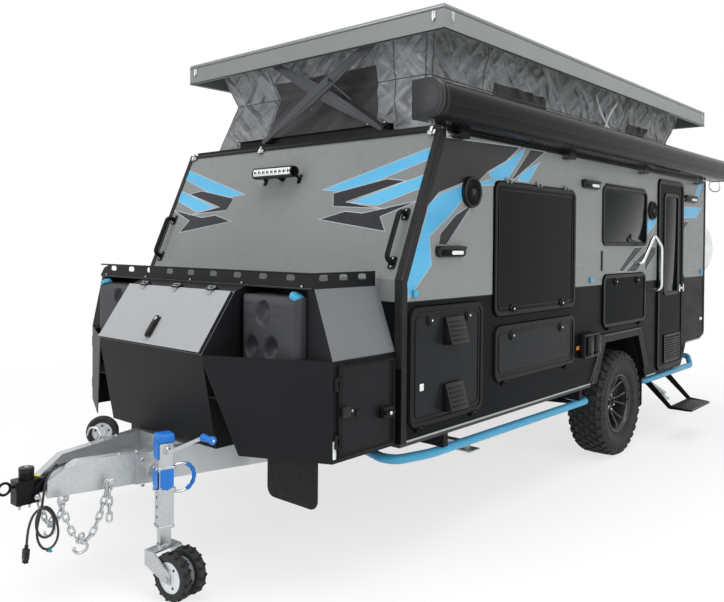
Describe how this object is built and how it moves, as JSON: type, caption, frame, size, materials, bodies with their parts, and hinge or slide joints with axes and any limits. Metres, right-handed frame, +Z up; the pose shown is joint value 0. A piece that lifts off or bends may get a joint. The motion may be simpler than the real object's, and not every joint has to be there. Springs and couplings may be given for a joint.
{
  "type": "pop-top caravan",
  "caption": "Single-axle off-road caravan with a lifting roof and canvas walls, front box, drawbar with jockey wheel, and side hatches.",
  "frame": {"origin": "on the ground, below the centre of the caravan's box", "axes": "+Z up, -Y towards the coupling, +X towards the side with the entry door and awning"},
  "size_m": [2.472, 6.386, 2.907],
  "materials": {
    "grey_panel": "satin grey composite panel",
    "dark_panel": "dark graphite panel",
    "gloss_black": "gloss black hatch",
    "black_coat": "textured black powder coat",
    "white_roof": "satin grey roof",
    "canvas": "grey coated canvas",
    "galvanised": "galvanised steel",
    "steel": "zinc-plated steel",
    "black_steel": "black painted steel",
    "blue_coat": "sky blue powder coat",
    "charcoal": "charcoal awning case",
    "tyre": "black tread rubber",
    "rim": "black wheel rim",
    "rubber": "black rubber",
    "window": "tinted acrylic with black frame",
    "lining": "pale liner",
    "floor": "floor board",
    "black_plastic": "black plastic",
    "can": "dark grey plastic can",
    "tank": "grey plastic tank",
    "cover": "pale wheel cover",
    "chrome": "polished handle",
    "cable": "black cable sheath"
  },
  "bodies": {
    "body": {"arches": "black_coat", "awning": "charcoal", "cable_plug": "black_plastic", "canvas": "canvas", "chassis": "galvanised", "coupling": "black_steel", "drawbar": "galvanised", "floor": "floor", "front_box": "black_coat", "grab_handle": "chrome", "jockey_clamp": "galvanised", "lockers": "lining", "mud_flaps": "rubber", "safety_chains": "galvanised", "side_fittings": "black_plastic", "side_rails": "blue_coat", "slope_fittings": "black_coat", "spare_wheels": "cover", "suspension": "black_steel", "top_rim": "white_roof", "trailer_cable": "cable", "tunnel_boot": "lining", "wall_front": "grey_panel", "wall_left": "grey_panel", "wall_rear": "grey_panel", "wall_right": "grey_panel", "water_cans": "can", "water_tank": "tank", "windows": "window"},
    "roof": {"roof": "white_roof"},
    "wheel_left": {"tyre_left": "tyre", "rim_left": "rim"},
    "wheel_right": {"tyre_right": "tyre", "rim_right": "rim"},
    "arm_low_front": {"arm_low_front": "black_steel"},
    "arm_high_front": {"arm_high_front": "black_steel"},
    "strut_tube_front": {"strut_tube_front": "black_steel"},
    "strut_rod_front": {"strut_rod_front": "steel"},
    "arm_low_rear": {"arm_low_rear": "black_steel"},
    "arm_high_rear": {"arm_high_rear": "black_steel"},
    "strut_tube_rear": {"strut_tube_rear": "black_steel"},
    "strut_rod_rear": {"strut_rod_rear": "steel"},
    "jockey_leg": {"jockey_leg": "galvanised"},
    "jockey_tube": {"jockey_tube": "galvanised"},
    "jockey_fork": {"jockey_fork": "galvanised"},
    "jockey_wheels": {"jockey_wheels": "rubber"},
    "entry_door": {"entry_door": "grey_panel"},
    "boot_hatch_left": {"boot_hatch_left": "dark_panel"},
    "lower_hatch": {"lower_hatch": "dark_panel"},
    "small_hatch": {"small_hatch": "grey_panel"},
    "boot_hatch_right": {"boot_hatch_right": "dark_panel"},
    "galley_hatch": {"galley_hatch": "gloss_black"},
    "box_lid": {"box_lid": "black_coat"},
    "box_door_left": {"box_door_left": "black_coat"},
    "box_door_right": {"box_door_right": "black_coat"},
    "entry_step": {"entry_step": "steel"},
    "steady_front_left": {"steady_front_left": "galvanised"},
    "steady_rear_left": {"steady_rear_left": "galvanised"},
    "steady_front_right": {"steady_front_right": "galvanised"},
    "steady_rear_right": {"steady_rear_right": "galvanised"}
  },
  "joints": [
    {"name": "roof_lift", "type": "slide", "parent": "body", "child": "roof", "axis": [0, 0, 1], "range_m": [-0.48, 0], "deforming": ["canvas"]},
    {"name": "arm_low_front_swing", "type": "hinge", "parent": "body", "child": "arm_low_front", "pos_m": [0.496, -1.33436, 2.265], "axis": [0, 1, 0], "range_deg": [-25.73, 0]},
    {"name": "arm_high_front_swing", "type": "hinge", "parent": "roof", "child": "arm_high_front", "pos_m": [0.496, -1.33436, 2.797], "axis": [0, 1, 0], "range_deg": [0, 25.73]},
    {"name": "strut_front_swing", "type": "hinge", "parent": "body", "child": "strut_tube_front", "pos_m": [0.537, -1.33436, 2.265], "axis": [0, 1, 0], "range_deg": [-32.64, 0]},
    {"name": "strut_front_slide", "type": "slide", "parent": "strut_tube_front", "child": "strut_rod_front", "axis": [-0.8062, 0, 0.5916], "range_m": [-0.05074, 0]},
    {"name": "arm_low_rear_swing", "type": "hinge", "parent": "body", "child": "arm_low_rear", "pos_m": [0.496, 2.73736, 2.265], "axis": [0, 1, 0], "range_deg": [-25.73, 0]},
    {"name": "arm_high_rear_swing", "type": "hinge", "parent": "roof", "child": "arm_high_rear", "pos_m": [0.496, 2.73736, 2.797], "axis": [0, 1, 0], "range_deg": [0, 25.73]},
    {"name": "strut_rear_swing", "type": "hinge", "parent": "body", "child": "strut_tube_rear", "pos_m": [0.537, 2.73736, 2.265], "axis": [0, 1, 0], "range_deg": [-32.64, 0]},
    {"name": "strut_rear_slide", "type": "slide", "parent": "strut_tube_rear", "child": "strut_rod_rear", "axis": [-0.8062, 0, 0.5916], "range_m": [-0.05074, 0]},
    {"name": "wheel_left_spin", "type": "hinge", "parent": "body", "child": "wheel_left", "pos_m": [0.8135, 1.018, 0.4], "axis": [1, 0, 0], "continuous": true},
    {"name": "wheel_right_spin", "type": "hinge", "parent": "body", "child": "wheel_right", "pos_m": [-1.0615, 1.018, 0.4], "axis": [1, 0, 0], "continuous": true},
    {"name": "jockey_swing", "type": "hinge", "parent": "body", "child": "jockey_leg", "pos_m": [0.276, -2.607, 0.525], "axis": [-0.9632, 0.2689, 0], "range_deg": [0, 90]},
    {"name": "jockey_wind", "type": "slide", "parent": "jockey_leg", "child": "jockey_tube", "axis": [0, 0, 1], "range_m": [0, 0.07]},
    {"name": "jockey_swivel", "type": "hinge", "parent": "jockey_tube", "child": "jockey_fork", "pos_m": [0.276, -2.607, 0.208], "axis": [0, 0, 1], "range_deg": [-111, 68]},
    {"name": "jockey_spin", "type": "hinge", "parent": "jockey_fork", "child": "jockey_wheels", "pos_m": [0.38534, -2.59493, 0.11], "axis": [-0.1097, 0.994, 0], "continuous": true},
    {"name": "entry_door_swing", "type": "hinge", "parent": "body", "child": "entry_door", "pos_m": [0.981, 2.253, 1.33], "axis": [0, 0, 1], "range_deg": [0, 150]},
    {"name": "boot_hatch_left_fold", "type": "hinge", "parent": "body", "child": "boot_hatch_left", "pos_m": [0.981, -1.3395, 0.69], "axis": [0, 1, 0], "range_deg": [0, 90]},
    {"name": "lower_hatch_fold", "type": "hinge", "parent": "body", "child": "lower_hatch", "pos_m": [0.981, -0.3745, 0.815], "axis": [0, 1, 0], "range_deg": [0, 90]},
    {"name": "small_hatch_fold", "type": "hinge", "parent": "body", "child": "small_hatch", "pos_m": [0.981, 0.988, 1.01], "axis": [0, 1, 0], "range_deg": [0, 90]},
    {"name": "boot_hatch_right_fold", "type": "hinge", "parent": "body", "child": "boot_hatch_right", "pos_m": [-1.229, -1.3395, 0.69], "axis": [0, -1, 0], "range_deg": [0, 90]},
    {"name": "galley_hatch_lift", "type": "hinge", "parent": "body", "child": "galley_hatch", "pos_m": [0.981, -0.3795, 1.975], "axis": [0, -1, 0], "range_deg": [0, 90]},
    {"name": "box_lid_lift", "type": "hinge", "parent": "body", "child": "box_lid", "pos_m": [-0.124, -2.27352, 1.37805], "axis": [-1, 0, 0], "range_deg": [0, 80]},
    {"name": "box_door_left_swing", "type": "hinge", "parent": "body", "child": "box_door_left", "pos_m": [0.9453, -2.139, 0.85], "axis": [0, 0, -1], "range_deg": [0, 110]},
    {"name": "box_door_right_swing", "type": "hinge", "parent": "body", "child": "box_door_right", "pos_m": [-1.1933, -2.139, 0.85], "axis": [0, 0, 1], "range_deg": [0, 110]},
    {"name": "entry_step_fold", "type": "hinge", "parent": "body", "child": "entry_step", "pos_m": [0.851, 1.953, 0.48], "axis": [0, 1, 0], "range_deg": [0, 135]},
    {"name": "steady_front_left_wind", "type": "hinge", "parent": "body", "child": "steady_front_left", "pos_m": [0.346, -0.827, 0.414], "axis": [0, 1, 0], "range_deg": [0, 55]},
    {"name": "steady_rear_left_wind", "type": "hinge", "parent": "body", "child": "steady_rear_left", "pos_m": [0.346, 2.603, 0.414], "axis": [0, 1, 0], "range_deg": [-30, 25]},
    {"name": "steady_front_right_wind", "type": "hinge", "parent": "body", "child": "steady_front_right", "pos_m": [-0.594, -0.827, 0.414], "axis": [0, -1, 0], "range_deg": [0, 55]},
    {"name": "steady_rear_right_wind", "type": "hinge", "parent": "body", "child": "steady_rear_right", "pos_m": [-0.594, 2.603, 0.414], "axis": [0, -1, 0], "range_deg": [-30, 25]}
  ],
  "couplings": [
    {"joint": "arm_low_front_swing", "follows": "roof_lift", "rad_per_m": 0.93489},
    {"joint": "arm_high_front_swing", "follows": "roof_lift", "rad_per_m": -0.93489},
    {"joint": "strut_front_swing", "follows": "roof_lift", "rad_per_m": 1.1859},
    {"joint": "strut_front_slide", "follows": "roof_lift", "ratio": 0.10467},
    {"joint": "arm_low_rear_swing", "follows": "roof_lift", "rad_per_m": 0.93489},
    {"joint": "arm_high_rear_swing", "follows": "roof_lift", "rad_per_m": -0.93489},
    {"joint": "strut_rear_swing", "follows": "roof_lift", "rad_per_m": 1.1859},
    {"joint": "strut_rear_slide", "follows": "roof_lift", "ratio": 0.10467}
  ]
}
